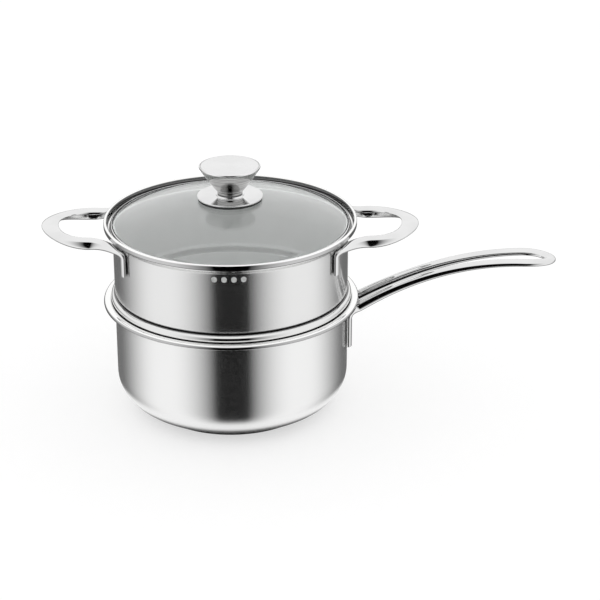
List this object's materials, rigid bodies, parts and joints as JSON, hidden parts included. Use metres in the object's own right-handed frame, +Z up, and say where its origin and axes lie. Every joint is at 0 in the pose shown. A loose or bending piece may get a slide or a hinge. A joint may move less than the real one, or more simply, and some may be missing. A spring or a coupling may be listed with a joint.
{
  "type": "two-tier steamer pot",
  "caption": "Stainless steel saucepan with a long loop handle, a steamer insert with side handles and a domed glass lid with a knob, stacked.",
  "frame": {"origin": "centre of the flat underside of the saucepan's base, on the axis of the pots", "axes": "+Z up along the pots' axis, +X towards the long handle's tip, +Y away from the vent holes"},
  "size_m": [0.4417, 0.2214, 0.2204],
  "materials": {
    "brushed_steel": "brushed round the pot",
    "polished_steel": "mirror polished stainless steel",
    "satin_steel": "fine satin",
    "core_aluminium": "plain, covered",
    "lid_glass": "clear toughened glass",
    "silicone": "matte silicone"
  },
  "bodies": {
    "saucepan": {"saucepan_shell": "brushed_steel", "base_core": "core_aluminium", "base_cap": "polished_steel", "long_handle": "polished_steel"},
    "steamer": {"steamer_shell": "brushed_steel", "right_side_handle": "polished_steel", "left_side_handle": "polished_steel"},
    "lid": {"lid_glass": "lid_glass", "lid_band": "polished_steel", "knob_body": "polished_steel", "knob_cap": "satin_steel", "knob_plate": "polished_steel", "upper_seal": "silicone", "lower_seal": "silicone", "glass_hole_bush": "silicone", "screw_washer": "satin_steel", "spring_washer": "satin_steel", "knob_screw": "satin_steel", "knob_insert": "satin_steel"}
  },
  "joints": [
    {"name": "steamer_lift", "type": "slide", "parent": "saucepan", "child": "steamer", "axis": [0, 0, 1], "range_m": [0, 0.12]},
    {"name": "lid_lift", "type": "slide", "parent": "steamer", "child": "lid", "axis": [0, 0, 1], "range_m": [0, 0.1]}
  ]
}
